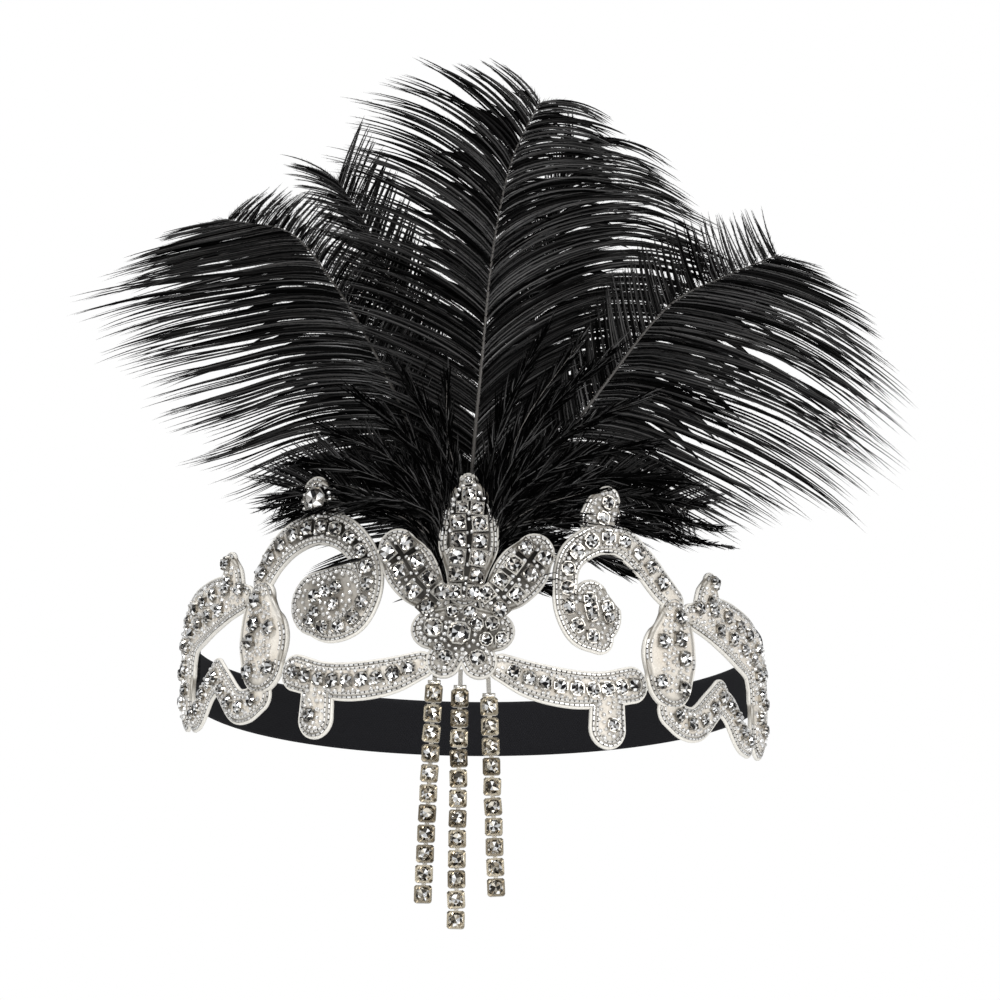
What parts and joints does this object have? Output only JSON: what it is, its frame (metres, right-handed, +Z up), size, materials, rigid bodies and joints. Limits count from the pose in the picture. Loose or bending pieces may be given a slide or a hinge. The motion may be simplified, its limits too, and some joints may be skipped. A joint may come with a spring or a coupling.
{
  "type": "flapper feather headband",
  "caption": "Elastic headband with a stoned lace front, three hanging rhinestone cup chains and standing ostrich plumes.",
  "frame": {"origin": "middle of the head opening at the elastic's mid height", "axes": "+Z up, -Y is the wearer's front, +X is to the right of someone looking at the front"},
  "size_m": [0.2262, 0.1965, 0.2185],
  "materials": {
    "elastic": "black woven elastic",
    "lace": "ivory net stiffened with clear resin, edged with seed beads",
    "stones": "cut clear stones with foiled backs, set in clear resin",
    "chain": "plated cup chain with cut clear stones",
    "plume": "black dyed ostrich feather",
    "felt": "black felt"
  },
  "bodies": {
    "root": {"lace_flower": "lace", "stones_flower": "stones", "lace_petal_left": "lace", "stones_petal_left": "stones", "lace_petal_right": "lace", "stones_petal_right": "stones", "lace_top_petal": "lace", "stones_top_petal": "stones", "lace_scroll_left": "lace", "stones_scroll_left": "stones", "lace_scroll_right": "lace", "stones_scroll_right": "stones", "lace_knob_left": "lace", "stones_knob_left": "stones", "lace_knob_right": "lace", "stones_knob_right": "stones", "lace_cluster_left": "lace", "stones_cluster_left": "stones", "lace_cluster_right": "lace", "stones_cluster_right": "stones", "lace_band_left": "lace", "stones_band_left": "stones", "lace_band_right": "lace", "stones_band_right": "stones", "lace_outer_leaf_left": "lace", "stones_outer_leaf_left": "stones", "lace_outer_leaf_right": "lace", "stones_outer_leaf_right": "stones", "lace_wave_left": "lace", "stones_wave_left": "stones", "lace_wave_right": "lace", "stones_wave_right": "stones", "elastic_band": "elastic", "chain_left": "chain", "chain_centre": "chain", "chain_right": "chain", "felt_patch": "felt", "fluff_left": "plume", "fluff_right": "plume", "plume_centre": "plume", "plume_left": "plume", "plume_right": "plume", "plume_back_left": "plume", "plume_back_right": "plume"}
  },
  "joints": []
}
